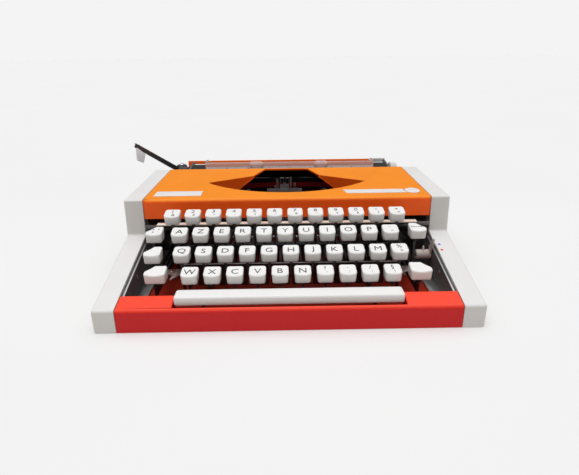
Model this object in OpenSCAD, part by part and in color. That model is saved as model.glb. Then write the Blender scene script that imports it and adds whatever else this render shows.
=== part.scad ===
// Portable manual typewriter with an AZERTY keyboard.
// x = 0 is the middle of the body, y = 0 its front face, z = 0 the desk. Millimetres.

/* [Keyboard] */
// Centre distance of neighbouring keys in a row
key_pitch = 18.7; // [18.2:0.1:22.5]
// Distance from one key row to the next, front to back
row_pitch = 19.5; // [17.5:0.1:23.4]
// Rise from one key row to the next
row_step = 10.6; // [8.9:0.1:12.7]
// Front face to the rear edge of the front row's key tops
first_row_y = 37.3; // [36.5:0.1:44.8]
// Height of the front row's key tops
first_row_z = 40.7; // [39:0.1:48.8]
// Width of a key cap
cap_w = 14.2; // [11.8:0.1:15.2]
// Depth of a key cap, front to back
cap_d = 13.4; // [11.2:0.1:13.6]
// Height of a key cap
cap_h = 11.2; // [9.3:0.1:11.8]
// Width of the two shift key caps
shift_cap_w = 17.8; // [15.4:0.1:19]
// Width of the other key caps at the sides
side_cap_w = 14.5; // [12.5:0.1:15.6]
// How far a key goes down
key_travel = 11; // [9:0.1:11.5]
// Thickness of the sheet steel key levers
lever_t = 1.4; // [1:0.1:1.8]
// Middle of the outermost left key to the left side panel
left_bay = 32.5; // [31.5:0.1:38]
// Middle of the outermost right key to the right side panel
right_bay = 37.8; // [36.8:0.1:44]

/* [Space bar] */
// Width of the space bar
bar_w = 184; // [154:1:186]
// Depth of the space bar, front to back
bar_d = 14.8; // [13:0.1:17.4]
// Height of the space bar's shell
bar_h = 7.2; // [6:0.1:8]
// How far the space bar stands above the deck's edge
bar_rise = 7.2; // [5:0.1:8]
// How far the space bar goes down
bar_travel = 7; // [5:0.1:8]

/* [Body] */
// Width of each side panel
cheek_w = 18; // [15:0.5:21.6]
// Wall thickness of the plastic mouldings
wall = 2.5; // [2:0.1:3]
// Height of the body at its front edge
front_h = 20; // [18.5:0.5:22]
// Height of the side panels at the foot of the ribbon cover
slope_h = 43; // [38:0.5:46]
// Height of the ribbon cover's top
shoulder_h = 77.5; // [74:0.5:93]
// Height of the body behind the carriage
rear_h = 36; // [33:0.5:38]
// Depth of the deck in front of the keys
deck_d = 18.7; // [17:0.1:20]
// Depth of the ribbon cover, front to back
cover_d = 127; // [122:1:152]
// Height of the ribbon cover's front face
cover_face = 19.5; // [17:0.5:22]

/* [Carriage] */
// Length of the rubber on the platen
platen_l = 240; // [200:1:288]
// Radius of the platen
platen_r = 15.5; // [14:0.1:17]
// Where the carriage stands along its travel, from the middle of the body
carriage_x = 4; // [-20:0.5:20]
// Length of the ruled bail strip
bail_l = 206; // [172:1:210]
// Radius of the platen's shaft
shaft_r = 4; // [3:0.1:5]

/* [Type basket] */
// Radius of the arc of type bar pivots
segment_r = 36; // [34:0.5:40]
// Length of a type bar
type_l = 46; // [40:0.5:50]
// Half of the angle over which the type bars fan out
fan_half = 65; // [60:1:70]
// How far the type basket drops for capitals
shift_drop = 6; // [5:0.1:6.5]

/* [Clearances] */
// Gap between fixed shells
seam = 0.3; // [0.2:0.05:0.5]
// Gap around moving shells
gap = 1; // [0.8:0.1:1.4]
// Radial play of a shaft or a pivot rod
play = 0.08; // [0.03:0.01:0.1]

/* [Hidden] */
$fn = 64;
eps = 0.01;
// gap that keeps two resting solids of one node apart
touch = 0.05;

ROW_NUMBERS = ["1", "2", "3", "4", "5", "6", "7", "8", "9", "0", "degree", "equals"];
ROW_UPPER = ["a", "z", "e", "r", "t", "y", "u", "i", "o", "p", "circumflex"];
ROW_HOME = ["q", "s", "d", "f", "g", "h", "j", "k", "l", "m", "percent"];
ROW_LOWER = ["w", "x", "c", "v", "b", "n", "comma", "semicolon", "colon", "section"];
// rows from front to back
ROWS = [ROW_LOWER, ROW_HOME, ROW_UPPER, ROW_NUMBERS];
// each row stands a whole number of quarter pitches to the right of the number row,
// which spaces all the key levers evenly
ROW_QUARTERS = [5, 3, 2, 0];
KEYS = [for (r = [0:3]) for (i = [0:len(ROWS[r]) - 1]) [str("key_", ROWS[r][i]), r, i]];

// plan
lever_pitch = key_pitch / 4;
in_w = left_bay + (len(ROW_NUMBERS) - 1) * key_pitch + right_bay;
half_in = in_w / 2;
body_w = in_w + 2 * cheek_w;
first_key_x = left_bay - half_in;
last_key_x = half_in - right_bay;
cover_gap = 14.2;
cover_y = first_row_y + 3 * row_pitch + cover_gap;
cover_rear = cover_y + cover_d;
rear_lip = 3.5;
platen_gap = 9.5;
platen_y = cover_rear + platen_gap + platen_r;
platen_z = shoulder_h - 0.5 - platen_r;
rail_w = 7;
rail_y = platen_y + platen_r + 6.5;
body_d = rail_y + rail_w + 14;
slope = atan((slope_h - front_h) / cover_y);

// key levers
lever_h = 6;
lever_z = 24;
rod_r = 2;
rod_y = cover_y + 85;
rod_z = lever_z + lever_h / 2;
tail = 6;
stem_w = 5;
stem_in = 3;
dish_r = 26;
dish = 0.9;
cap_corner = 2.8;
// heights of the stops above and below the levers
slot_play = 0.45;
comb_t = 2;
front_comb_y = first_row_y + row_pitch + 1.5;
rear_comb_y = first_row_y + 3 * row_pitch - cap_d + 20;

// keyboard well
deck_t = 3;
foot_r = 8;
notch_y = 4;
bar_y = notch_y + gap + 0.6;
bar_z = front_h + bar_rise + 0.8;
bar_arms = [between(7), between(37)];
arm_t = 1.6;
arm_h = 6;
side_z = 16.5;
side_rod_y = cover_y + 68;
bar_rod_y = cover_y + 40;
bar_rod_z = 14.5;
bar_rod_x = 76;
foot_w = 4;
plate_t = 1.6;
foot_t = 1.6;
plate_x = half_in - 0.4 - plate_t;
floor_top = 2 + wall;
rest_z = shoulder_h - cover_face - 4;
selector_y = cover_y - 20;
selector_z = lever_z + 2;

// carriage
rail_z = rear_h + 2;
rail_h = 7;
play_rail = 0.4;
channel_t = 2.6;
end_t = 2.5;
end_left = carriage_x - platen_l / 2 - 1.5 - end_t;
end_right = carriage_x + platen_l / 2 + 1.5;
bail_y = platen_y + platen_r + 5.5;
bail_z = platen_z + platen_r - 6.5;
lever_pivot_x = end_left - 14;
lever_pivot_y = rail_y - 1;
lever_base_z = platen_z + 4;
release_y = rail_y + 4;
release_z = platen_z - 3;
table_l = platen_l + 1;
table_x = carriage_x - 11.5;

// eye-shaped opening of the ribbon cover: its right tip and the kink behind it
eye_tip = [84, cover_y + 62.5];
eye_kink = [37, eye_tip[1] + 28];

// type basket
strike_y = platen_y - platen_r;
pivot_z = lever_z + lever_h + shift_drop + 4;
post_r = 3;
post_x = segment_r + 10;
post_y = strike_y - 11;
spool_r = 26;
spool_x = half_in - spool_r - 10;
spool_y = cover_y + 36;
spool_z = shoulder_h - 22;

function key_x(r, i) = first_key_x + (ROW_QUARTERS[r] + 4 * i) * lever_pitch;
function row_y(r) = first_row_y + r * row_pitch;
function row_z(r) = first_row_z + r * row_step;
function slope_z(y) = front_h + y * tan(slope);
// middle of the gap between two key levers, n levers from the left
function between(n) = first_key_x + (n + 0.5) * lever_pitch;

// A profile drawn in (y, z) and pushed out along x, centred on x.
module along_x(x, t) {
    translate([x - t / 2, 0, 0]) rotate([90, 0, 90]) linear_extrude(t) children();
}

module rod_x(x0, x1, y, z, r) {
    translate([x0, y, z]) rotate([0, 90, 0]) cylinder(r = r, h = x1 - x0);
}

module block(low, high) {
    translate(low) cube(high - low);
}

module rounded(w, d, r) {
    translate([-w / 2 + r, 0]) square([w - 2 * r, d]);
    translate([-w / 2, r]) square([w, d - 2 * r]);
    for (x = [-w / 2 + r, w / 2 - r], y = [r, d - r]) translate([x, y]) circle(r);
}

// A key cap with its rear top edge at (y, z) and a dished top.
// cut is the side on which a wide cap loses its outer rear corner: -1, 0 or 1.
module cap(x, y, z, w, cut = 0) {
    difference() {
        translate([x, y - cap_d, z - cap_h]) linear_extrude(cap_h) difference() {
            rounded(w, cap_d, cap_corner);
            if (cut != 0) {
                translate([cut * w / 2, cap_d]) rotate(45) square(cap_d * 0.8, center = true);
            }
        }
        translate([x, y + 1, z + dish_r - dish]) rotate([90, 0, 0]) cylinder(r = dish_r, h = cap_d + 2);
    }
}

// A key lever with its upright stem, hooked over the pivot rod at its rear end.
module lever(x, stem_y, top, t = lever_t, z = lever_z, h = lever_h, py = rod_y) {
    pz = z + h / 2;
    along_x(x, t) difference() {
        union() {
            translate([stem_y, z]) square([py + tail - stem_y, h]);
            translate([stem_y, z]) square([stem_w, top - z]);
        }
        translate([py, pz]) circle(rod_r + play);
        translate([py - rod_r - play, z - 1]) square([2 * (rod_r + play), h / 2 + 1]);
    }
}

module type_key(r, i) {
    x = key_x(r, i);
    y = row_y(r);
    color("white") cap(x, y, row_z(r), cap_w);
    color("dimgray") lever(x, y - cap_d + stem_in, row_z(r) - cap_h + 2);
}

// One of the keys beside the type keys, with its arm at arm_x.
module side_key(x, arm_x, y, z, cut, w = side_cap_w) {
    color("white") cap(x, y, z, w, cut);
    color("dimgray") {
        stem_y = y - cap_d + stem_in;
        block([min(x, arm_x) - arm_t / 2, stem_y, z - cap_h - 3],
              [max(x, arm_x) + arm_t / 2, stem_y + stem_w, z - cap_h + 2]);
        lever(arm_x, stem_y, z - cap_h, arm_t, side_z, arm_h, side_rod_y);
    }
}

// The outline of the side panels, seen from the side.
module cheek_outline() {
    polygon([
        [0, 0], [0, front_h], [cover_y - 2, slope_z(cover_y - 2)], [cover_y, shoulder_h],
        [cover_rear, shoulder_h], [cover_rear + 3, rear_h], [body_d, rear_h], [body_d, 0]
    ]);
}

module base_shell() {
    w = in_w - 2 * seam;
    color("red") {
        difference() {
            union() {
                // front wall and sloping deck
                along_x(0, w) polygon([
                    [0, 0], [0, front_h], [deck_d, slope_z(deck_d)],
                    [deck_d, slope_z(deck_d) - deck_t], [wall, front_h - deck_t], [wall, 0]
                ]);
                // skirt under the deck around the space bar
                block([-bar_w / 2 - gap - wall, wall - eps, 10],
                      [bar_w / 2 + gap + wall, deck_d, front_h - deck_t + 1]);
            }
            block([-bar_w / 2 - gap, notch_y, -1], [bar_w / 2 + gap, deck_d + 1, front_h * 2]);
        }
        // floor pan, side rims and rear wall
        block([-w / 2, 0, 2], [w / 2, body_d, floor_top]);
        for (s = [-1, 1]) along_x(s * (w - wall) / 2, wall) square([body_d, floor_top]);
        block([-w / 2, body_d - wall, 0], [w / 2, body_d, rear_h]);
        // moulded feet
        for (x = [-half_in + 20, half_in - 20], y = [20, body_d - 20]) {
            translate([x, y, 0]) cylinder(r = foot_r, h = 3);
        }
    }
}

module side_panels() {
    color("whitesmoke") for (s = [-1, 1]) difference() {
        along_x(s * (half_in + cheek_w / 2), cheek_w) cheek_outline();
        // hollow inside, open towards the frame
        along_x(s * (half_in + (cheek_w - wall) / 2 - 1), cheek_w - wall + 2) polygon([
            [wall, wall], [wall, front_h - wall], [cover_y + wall, slope_z(cover_y) - wall],
            [cover_y + wall, shoulder_h - wall], [cover_rear - wall, shoulder_h - wall],
            [cover_rear - wall, rear_h - wall], [body_d - wall, rear_h - wall], [body_d - wall, wall]
        ]);
    }
}

// The eye-shaped opening over the type basket, in plan.
module eye() {
    front_y = cover_y + 20.8;
    sagitta = eye_tip[1] - front_y;
    arc_r = (eye_tip[0] * eye_tip[0] + sagitta * sagitta) / (2 * sagitta);
    rear_y = cover_rear - 3;
    intersection() {
        translate([0, front_y + arc_r]) circle(arc_r, $fn = 128);
        polygon([
            [-eye_tip[0], eye_tip[1]], [-eye_kink[0], eye_kink[1]], [-25, rear_y], [25, rear_y],
            eye_kink, eye_tip, [eye_tip[0], front_y - 1], [-eye_tip[0], front_y - 1]
        ]);
    }
}

// The wall that hangs from the opening's left edge, between its tip and its kink.
module eye_wall() {
    run = [eye_tip[0] - eye_kink[0], eye_kink[1] - eye_tip[1]];
    l = norm(run);
    t = 1.6;
    depth = 20;
    translate([-eye_tip[0], eye_tip[1], shoulder_h - wall + eps]) rotate(atan2(run[1], run[0]))
        translate([0, t, 0]) rotate([90, 0, 0]) linear_extrude(t)
            polygon([[7, 0], [l, 0], [l - 1.55 * depth, -depth + wall], [11, -depth + wall]]);
}

module ribbon_cover() {
    w = in_w - 2 * seam;
    color("darkorange") {
        difference() {
            along_x(0, w) polygon([
                [cover_y, shoulder_h - cover_face], [cover_y, shoulder_h], [cover_rear, shoulder_h],
                [cover_rear, shoulder_h - rear_lip], [cover_rear - wall, shoulder_h - rear_lip],
                [cover_rear - wall, shoulder_h - wall], [cover_y + wall, shoulder_h - wall],
                [cover_y + wall, shoulder_h - cover_face]
            ]);
            translate([0, 0, shoulder_h - wall - 1]) linear_extrude(wall + 2) eye();
        }
        for (m = [0, 1]) mirror([m, 0, 0]) eye_wall();
    }
}

// A comb plate on two legs, with one slot for every lever in xs that is open below.
module comb(xs, y, bottom, high, top) {
    x0 = min(xs) - 3.5;
    x1 = max(xs) + 3.5;
    difference() {
        block([x0, y, bottom], [x1, y + comb_t, top]);
        for (x = xs) {
            block([x - lever_t / 2 - slot_play, y - 1, bottom - 1],
                  [x + lever_t / 2 + slot_play, y + comb_t + 1, high]);
        }
    }
    leg_w = 3.5 - lever_t / 2 - slot_play;
    for (x = [x0, x1 - leg_w]) block([x, y, floor_top], [x + leg_w, y + comb_t, bottom + eps]);
}

// A block on the floor pan that holds one end of the space bar's rod.
module rod_foot(x0, x1, y, z) {
    block([min(x0, x1), y - 5, floor_top], [max(x0, x1), y + 5, z + rod_r + 0.4]);
}

// A bar from the side plate on side s inwards to x.
module bracket(s, x, y0, y1, z0, z1) {
    root = s * (plate_x - touch);
    block([min(x, root), y0, z0], [max(x, root), y1, z1]);
}

module side_plate(s) {
    along_x(s * (plate_x + plate_t / 2), plate_t) polygon([
        [deck_d + 1, floor_top], [deck_d + 1, slope_z(deck_d) - deck_t - 1],
        [cover_y + wall + 1, slope_z(cover_y) - 4], [cover_y + wall + 1, shoulder_h - wall - 1],
        [cover_rear - 8, shoulder_h - wall - 1], [cover_rear - 8, rear_h - 1],
        [rail_y + rail_w, rear_h - 1], [rail_y + rail_w, floor_top]
    ]);
    flange_x = s * (plate_x - 5);
    block([flange_x - 5.5, deck_d + 1, floor_top], [flange_x + 5.5, rail_y + rail_w, floor_top + foot_t]);
}

// A ribbon spool in its cup, on a bracket from the side plate.
module spool(s) {
    x = s * spool_x;
    cup_floor = 1.5;
    color("dimgray") bracket(s, x, spool_y - 6, spool_y + 6, spool_z - 2, spool_z - touch);
    color("gray") translate([x, spool_y, spool_z]) difference() {
        cylinder(r = spool_r + 2, h = 9);
        translate([0, 0, cup_floor]) cylinder(r = spool_r + 1, h = 9);
    }
    color("black") translate([x, spool_y, spool_z + cup_floor + touch]) {
        cylinder(r = spool_r - 3, h = 9);
        for (z = [0, 9]) translate([0, 0, z]) cylinder(r = spool_r, h = 1);
    }
}

// An angle strip behind the number row, notched at every number key.
module rest_bar() {
    x0 = -half_in + 13.5;
    x1 = half_in - 14.7;
    y0 = cover_y - 9.5;
    block([x0, y0, rest_z], [x1, y0 + 6, rest_z + 1.6]);
    difference() {
        block([x0, y0, rest_z - 4], [x1, y0 + 1.4, rest_z + eps]);
        for (i = [0:len(ROW_NUMBERS) - 1]) {
            block([key_x(3, i) - 1.6, y0 - 1, rest_z - 5], [key_x(3, i) + 1.6, y0 + 2, rest_z - 1.2]);
        }
    }
}

// The front and the rear comb plate that guide the key levers.
module combs() {
    low = lever_z - key_travel - 1;
    high = lever_z + lever_h + slot_play;
    difference() {
        union() {
            comb([for (k = KEYS) if (k[1] < 2) key_x(k[1], k[2])], front_comb_y, low, high, high + 3);
            comb([for (k = KEYS) key_x(k[1], k[2])], rear_comb_y, low, high, high + 3);
        }
        // passages of the space bar's arms
        for (x = bar_arms) {
            block([x - arm_t / 2 - 0.9, 0, low - 1], [x + arm_t / 2 + 0.9, cover_y, bar_rod_z + 5]);
        }
    }
}

// Side plates, combs, rods and rail; each is a solid of its own, a hair's breadth from its neighbours.
module frame() {
    inner = plate_x - touch;
    color("dimgray") {
        for (s = [-1, 1]) side_plate(s);
        combs();
        for (s = [-1, 1]) rod_foot(s * bar_rod_x, s * (bar_rod_x + foot_w), bar_rod_y, bar_rod_z);
        // rear beam that carries the carriage rail
        block([-inner, rail_y + 2, floor_top + foot_t + touch], [inner, rail_y + 5, rail_z - touch]);
        block([-plate_x - plate_t, rail_y, rail_z], [plate_x + plate_t, rail_y + rail_w, rail_z + rail_h]);
    }
    color("silver") {
        rod_x(-inner, inner, rod_y, rod_z, rod_r);
        rod_x(-inner, inner, side_rod_y, side_z + arm_h / 2, rod_r);
        rod_x(-bar_rod_x + touch, bar_rod_x - touch, bar_rod_y, bar_rod_z, rod_r);
        // pin of the ribbon selector
        rod_x(plate_x - 15, inner, selector_y, selector_z, 2);
        // posts that guide the type basket
        for (s = [-1, 1]) translate([s * post_x, post_y, floor_top]) {
            cylinder(r = post_r, h = pivot_z + 12 - floor_top);
        }
    }
    color("linen") rest_bar();
    for (s = [-1, 1]) {
        color("dimgray") bracket(s, s * (half_in - 22), cover_y - 8, cover_y - 5, rest_z - 3, rest_z - touch);
        spool(s);
    }
}

module type_basket() {
    bar_z = pivot_z + 3;
    bar_half = 0.5;
    angles = [for (k = [0:len(KEYS) - 1]) -fan_half + k * 2 * fan_half / (len(KEYS) - 1)];
    color("silver") difference() {
        union() {
            // segment that carries the type bars
            translate([0, strike_y, pivot_z - 3]) rotate(-90 - fan_half - 4)
                rotate_extrude(angle = 2 * fan_half + 8) translate([segment_r - 4, 0]) square([6, 8]);
            // lugs that run on the guide posts
            for (s = [-1, 1]) translate([0, 0, pivot_z - 3]) linear_extrude(5) {
                translate([s * post_x, post_y]) circle(post_r + 3);
                translate([s * (post_x + segment_r - 4) / 2, post_y])
                    square([post_x - segment_r + 8, 5], center = true);
            }
        }
        for (s = [-1, 1]) translate([s * post_x, post_y, pivot_z - 4]) cylinder(r = post_r + play, h = 7);
        for (a = angles) translate([0, strike_y, 0]) rotate(a) {
            block([-bar_half - touch, -segment_r - 4, bar_z - touch],
                  [bar_half + touch, -segment_r + 6, bar_z + 6]);
        }
    }
    // type bars, each in its slot of the segment
    color("gray") for (a = angles) translate([0, strike_y, 0]) rotate(a) {
        block([-bar_half, -segment_r - type_l, bar_z], [bar_half, -segment_r + 2, bar_z + 3.5]);
        block([-1.4, -segment_r - type_l - 3, bar_z - 1], [1.4, -segment_r - type_l, bar_z + 7]);
    }
}

module end_plate(x0) {
    rear = rail_y + rail_w + play_rail + channel_t;
    along_x(x0 + end_t / 2, end_t) difference() {
        polygon([
            [platen_y - 13, platen_z - 10], [platen_y + 8, rail_z + 3], [rear, rail_z + 3],
            [rear, platen_z - 6], [bail_y + 5, bail_z + 5], [bail_y - 6, bail_z + 5],
            [platen_y - 8, platen_z + 12]
        ]);
        translate([platen_y, platen_z]) circle(shaft_r + play);
        translate([bail_y, bail_z + 1.5]) circle(1.5 + play);
        // passage of the rail
        translate([rail_y - play_rail, rail_z]) square([rail_w + 2 * play_rail, rail_h + play_rail]);
    }
}

module carriage() {
    y0 = rail_y - play_rail;
    y1 = rail_y + rail_w + play_rail;
    top = rail_z + rail_h + play_rail;
    color("dimgray") {
        // channel that slides along the rail
        block([end_left + eps, y0 - channel_t, rail_z + 1], [end_right + end_t - eps, y0, top + channel_t]);
        block([end_left + eps, y1, rail_z + 1], [end_right + end_t - eps, y1 + channel_t, top + channel_t]);
        block([end_left + eps, y0 - eps, top], [end_right + end_t - eps, y1 + eps, top + channel_t]);
        end_plate(end_left);
        end_plate(end_right);
        // bracket of the return lever
        block([lever_pivot_x - 8, lever_pivot_y - 6, lever_base_z - 4],
              [end_left + eps, lever_pivot_y + 8, lever_base_z]);
        // pin of the paper release lever
        rod_x(end_right + end_t - eps, end_right + end_t + 4, release_y, release_z, 2);
        // curved guide under the platen
        along_x((end_left + end_right + end_t) / 2, end_right - end_left) polygon([
            [platen_y + 5, platen_z - platen_r - 3], [platen_y + platen_r + 3, platen_z - 4],
            [platen_y + platen_r + 4.5, platen_z - 5], [platen_y + 6, platen_z - platen_r - 4.5]
        ]);
    }
    color("silver") translate([lever_pivot_x, lever_pivot_y, lever_base_z - eps]) cylinder(r = 3, h = 9);
    // paper table behind the platen
    rear = y1 + channel_t;
    color("darkorange") along_x(table_x, table_l) polygon([
        [rear - eps, rail_z + 9], [rear + 2, rail_z + 9], [rear + 4, platen_z + platen_r - 2],
        [rear + 2, platen_z + platen_r - 2]
    ]);
}

module knob(x0, x1, r) {
    difference() {
        rod_x(x0, x1, platen_y, platen_z, r);
        for (a = [0:30:359]) translate([x0 - 1, platen_y + (r + 1.2) * cos(a), platen_z + (r + 1.2) * sin(a)])
            rotate([0, 90, 0]) cylinder(r = 2, h = x1 - x0 + 2, $fn = 24);
    }
}

module platen() {
    x0 = carriage_x - platen_l / 2;
    x1 = carriage_x + platen_l / 2;
    color("black") rod_x(x0, x1, platen_y, platen_z, platen_r);
    color("silver") rod_x(end_left - 8, end_right + end_t + 8, platen_y, platen_z, shaft_r);
    color("black") knob(end_left - 14, end_left - 1, 13.5);
    color("white") knob(end_right + end_t + 1, end_right + end_t + 9, 16.5);
}

// The bail swings on two pins in the end plates; its strip lies along the front of the platen.
module paper_bail() {
    mid = carriage_x + 0.3;
    roller_l = 15;
    strip_y = platen_y - 11.5;
    strip_z = platen_z + 12.4;
    color("silver") {
        along_x(mid, bail_l) polygon([
            [strip_y - 0.5, strip_z], [strip_y + 0.7, strip_z],
            [strip_y + 1.9, strip_z + 8], [strip_y + 0.7, strip_z + 8]
        ]);
        for (s = [-1, 1]) {
            x = mid + s * (bail_l / 2 - 1);
            along_x(x, 2) polygon([
                [strip_y + 0.6, strip_z + 6], [strip_y + 1.6, strip_z + 9.4], [bail_y - 14, strip_z + 8],
                [bail_y + 2.5, bail_z + 4.4], [bail_y + 2.5, bail_z - 1], [bail_y - 3, bail_z + 0.5],
                [bail_y - 9, bail_z + 4.5], [bail_y - 18, strip_z + 4.6], [strip_y + 3, strip_z + 6]
            ]);
        }
        rod_x(end_left - 1, end_right + end_t + 1, bail_y, bail_z + 1.5, 1.5);
    }
    // rollers that hold the paper down
    color("black") for (x = [mid - 40.5, mid + 38]) {
        rod_x(x - roller_l / 2, x + roller_l / 2, strip_y - 0.6, strip_z + 4.6, 5);
    }
}

// A point of the return lever, measured from the top of its pivot.
module lever_ball(x, y, z, r) {
    translate([lever_pivot_x + x, lever_pivot_y + y, lever_base_z + z]) sphere(r, $fn = 24);
}

module return_lever() {
    tip = [-42, -48, 41.5];
    arm_r = 2.9;
    color("dimgray") difference() {
        union() {
            translate([lever_pivot_x, lever_pivot_y, lever_base_z + seam]) cylinder(r = 6.5, h = 7);
            hull() {
                lever_ball(-7, -5, 4, arm_r);
                lever_ball(-9, -1, 4, arm_r);
                lever_ball(-5, 0, 4, arm_r);
            }
            hull() {
                lever_ball(-7, -4, 4, arm_r);
                lever_ball(tip[0], tip[1], tip[2], arm_r - 0.3);
            }
        }
        translate([lever_pivot_x, lever_pivot_y, lever_base_z - 1]) cylinder(r = 3 + play, h = 12);
    }
    // finger tab that hangs from the tip
    color("silver") hull() for (corner = [[0, -1], [0, -18], [8, -21], [11, -10]]) {
        translate([lever_pivot_x, lever_pivot_y, lever_base_z] + tip + [corner[0], 0, corner[1]])
            rotate([90, 0, 60]) cylinder(r = 1, h = 1.6);
    }
}

// An arm on the right end plate whose tab stands behind the plate.
module paper_release_lever() {
    x0 = end_right + end_t + seam;
    tab_y = rail_y + rail_w + play_rail + channel_t + 0.6;
    top = platen_z + platen_r - 1;
    color("white") {
        along_x(x0 + 1, 2) difference() {
            union() {
                translate([release_y, release_z]) circle(4);
                polygon([
                    [release_y - 3.5, release_z], [release_y + 3.5, release_z],
                    [tab_y + 3, top - 8], [tab_y + 3, top - 2], [tab_y, top - 2]
                ]);
            }
            translate([release_y, release_z]) circle(2 + play);
        }
        block([x0 - 14, tab_y, top - 8], [x0 + 2, tab_y + 3, top]);
    }
}

// A lever with a pointer that stands beside two coloured dots on the side panel.
module ribbon_selector() {
    hub_y = selector_y;
    hub_z = selector_z;
    tip_y = cover_y - 29;
    tip_z = slope_z(tip_y) + 8;
    x1 = plate_x - 0.6;
    color("gray") {
        difference() {
            rod_x(x1 - 14, x1, hub_y, hub_z, 4.5);
            rod_x(x1 - 15, x1 + 1, hub_y, hub_z, 2 + play);
        }
        along_x(x1 - 1, 2) difference() {
            polygon([
                [hub_y - 3.5, hub_z], [hub_y + 4, hub_z], [tip_y + 2, tip_z], [tip_y - 1.5, tip_z]
            ]);
            translate([hub_y, hub_z]) circle(2 + play);
        }
        // stiffening rib
        along_x(x1 - 7, 1.4) polygon([
            [hub_y - 3.5, hub_z + 2.6], [hub_y + 3.5, hub_z + 2.6], [hub_y, hub_z + 9]
        ]);
    }
}

module space_bar() {
    shell = 1.6;
    arm_low = bar_rod_z - arm_h / 2;
    arm_y = bar_y + bar_d - 8;
    color("white") {
        difference() {
            translate([-bar_w / 2, bar_y, bar_z - bar_h]) cube([bar_w, bar_d, bar_h]);
            translate([-bar_w / 2 + shell, bar_y + shell, bar_z - bar_h - 1])
                cube([bar_w - 2 * shell, bar_d - 2 * shell, bar_h + 1 - 1.8]);
        }
        // posts that stand on the two arms
        for (x = bar_arms) {
            block([x - arm_t / 2, arm_y, arm_low + arm_h + touch], [x + arm_t / 2, arm_y + 5, bar_z - 1]);
        }
    }
    color("dimgray") for (x = bar_arms) {
        lever(x, arm_y, arm_low + arm_h, arm_t, arm_low, arm_h, bar_rod_y);
    }
}

shift_x = [-half_in + 27.1, half_in - 28.2];

module shift_keys() {
    y = row_y(0) + 2.5;
    arms = [first_key_x - 6, last_key_x + 8];
    for (k = [0, 1]) side_key(shift_x[k], arms[k], y, row_z(0), k == 0 ? -1 : 1, shift_cap_w);
    // bar that makes both shift keys move together
    color("dimgray") block([arms[0], side_rod_y - 18, side_z], [arms[1], side_rod_y - 14, side_z + 3]);
}

module shift_lock_key() {
    side_key(shift_x[0] - 5.2, first_key_x - 10, row_y(1), row_z(1), -1);
}

module margin_release_key() {
    side_key(shift_x[0] - 7.7, first_key_x - 14, row_y(2) + 2, row_z(2), -1);
}

module backspace_key() {
    side_key(shift_x[1] + 5.9, last_key_x + 13, row_y(2) + 3, row_z(2), 1);
}

for (k = KEYS) type_key(k[1], k[2]);
base_shell();
side_panels();
ribbon_cover();
frame();
type_basket();
carriage();
platen();
paper_bail();
return_lever();
paper_release_lever();
ribbon_selector();
space_bar();
shift_keys();
shift_lock_key();
margin_release_key();
backspace_key();
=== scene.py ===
"""Looks of the portable typewriter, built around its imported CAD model. Sizes in mm unless a name says m."""
import math

import bmesh
import bpy
from mathutils import Matrix, Vector

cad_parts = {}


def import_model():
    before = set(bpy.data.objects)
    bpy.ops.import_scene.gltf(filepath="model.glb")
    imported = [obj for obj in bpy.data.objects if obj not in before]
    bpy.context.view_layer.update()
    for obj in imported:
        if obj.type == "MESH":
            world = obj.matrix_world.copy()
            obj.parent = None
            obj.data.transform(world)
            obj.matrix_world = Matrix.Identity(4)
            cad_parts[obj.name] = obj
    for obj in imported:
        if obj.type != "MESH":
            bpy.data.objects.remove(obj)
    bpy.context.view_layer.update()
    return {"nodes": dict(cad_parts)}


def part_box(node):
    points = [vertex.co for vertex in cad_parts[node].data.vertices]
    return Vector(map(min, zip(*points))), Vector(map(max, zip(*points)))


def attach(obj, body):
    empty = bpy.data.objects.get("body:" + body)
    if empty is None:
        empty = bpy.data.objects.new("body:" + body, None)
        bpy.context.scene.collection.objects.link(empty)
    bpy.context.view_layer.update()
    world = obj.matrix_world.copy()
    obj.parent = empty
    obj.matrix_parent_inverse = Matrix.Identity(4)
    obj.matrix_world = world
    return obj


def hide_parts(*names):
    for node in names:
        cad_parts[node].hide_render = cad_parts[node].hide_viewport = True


MM = 0.001
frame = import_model()
NODES = frame["nodes"]
scene = bpy.context.scene

# sizes of the CAD part that several pieces share
COVER_Y = 110.0
SHOULDER = 77.5
REAR_H = 36.0
BODY_D = 305.0
FLOOR_TOP = 4.5
FRONT_H, DECK_D, DECK_RISE = 20.0, 18.7, 23.0
CAP_W, CAP_D, CAP_H = 14.2, 13.4, 11.2
DISH_R, DISH = 21.6, 1.2
CAP_DROP = 2.2
PLATE_X, PLATE_T = 136.0, 1.6
SELECTOR_Y, SELECTOR_Z = 90.0, 26.0
ROD_Y, ROD_Z = 195.0, 27.0
SIDE_ROD_Y, SIDE_Z, SIDE_ARM_H = 178.0, 16.5, 6.0
BAR_ROD_Y, BAR_ROD_Z, BAR_ARMS = 150.0, 14.5, (-70.44, 69.81)
PLATEN_Y, PLATEN_Z, PLATEN_R = 262.0, 61.5, 15.5
CARRIAGE_X = 4.0
END_L, END_R, END_T = -120.0, 125.5, 2.5
RAIL_Y, RAIL_Z = 284.0, 38.0


def slope_z(y):
    """Height of the sloping top edge of a side panel in front of the cover."""
    return FRONT_H + y * DECK_RISE / COVER_Y


# ---------------------------------------------------------------- materials

def new_material(name):
    m = bpy.data.materials.new(name)
    m.use_nodes = True
    nt = m.node_tree
    return m, nt, nt.nodes["Principled BSDF"]


def add(nt, kind, **inputs):
    n = nt.nodes.new(kind)
    for key, value in inputs.items():
        n.inputs[key.replace("_", " ")].default_value = value
    return n


def coordinate(nt, space, axis):
    """One component of a texture coordinate."""
    coord = nt.nodes.new("ShaderNodeTexCoord")
    sep = nt.nodes.new("ShaderNodeSeparateXYZ")
    nt.links.new(coord.outputs[space], sep.inputs[0])
    return sep.outputs[axis]


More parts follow.
